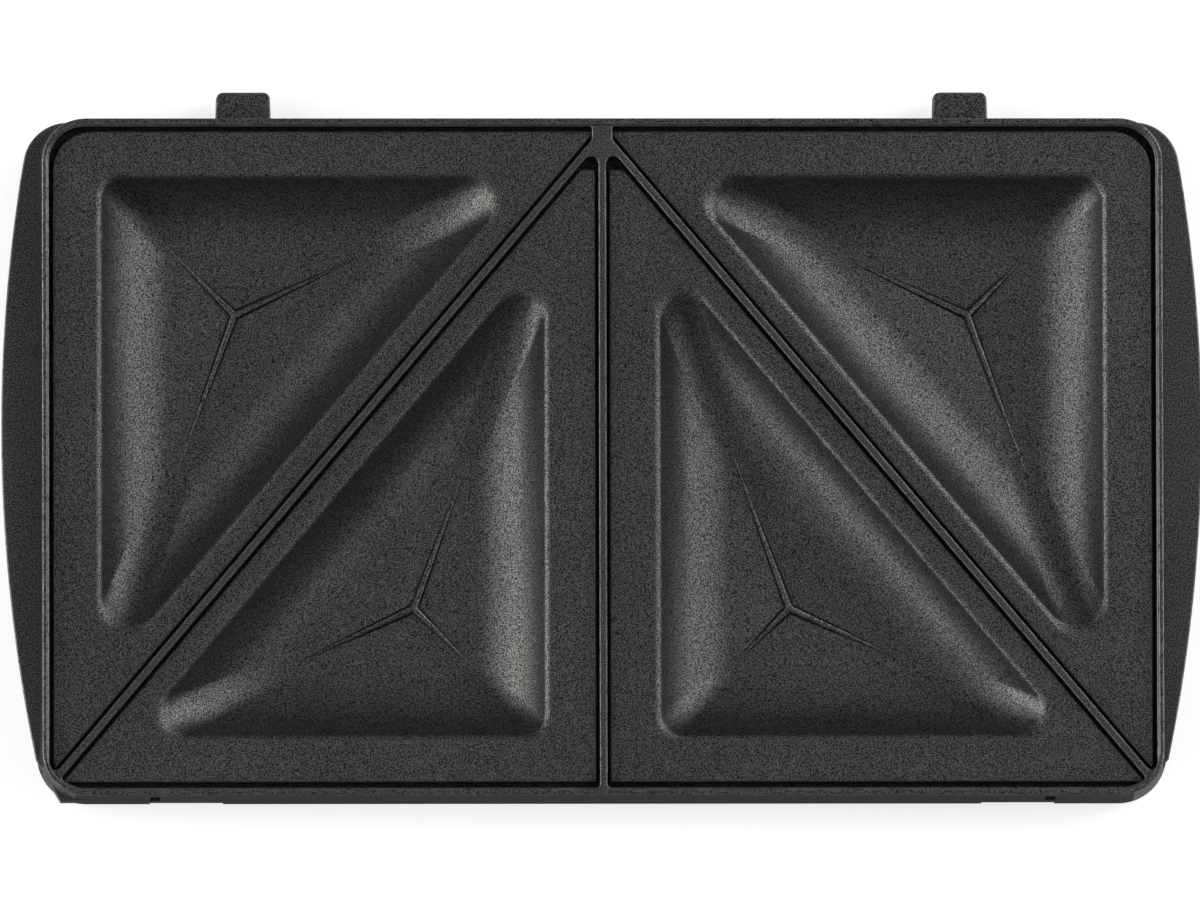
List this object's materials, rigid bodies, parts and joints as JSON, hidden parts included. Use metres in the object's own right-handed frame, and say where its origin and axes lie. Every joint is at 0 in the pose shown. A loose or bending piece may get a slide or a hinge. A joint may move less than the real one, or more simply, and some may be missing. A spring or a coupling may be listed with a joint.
{
  "type": "sandwich toaster plate",
  "caption": "Removable die-cast sandwich toaster plate with triangular pockets, raised cutting ribs and rim, side flanges, rear locating tabs and front latch recesses.",
  "frame": {"origin": "under the middle of the plate's overall outline, on the plane of the four heater pads", "axes": "+X along the plate's length, +Y towards the rear tabs, +Z out of the cooking side"},
  "size_m": [0.2394, 0.1416, 0.015],
  "materials": {
    "nonstick_coating": "satin charcoal non-stick coating with a fine speckle"
  },
  "bodies": {
    "root": {"sandwich_plate": "nonstick_coating"}
  },
  "joints": []
}
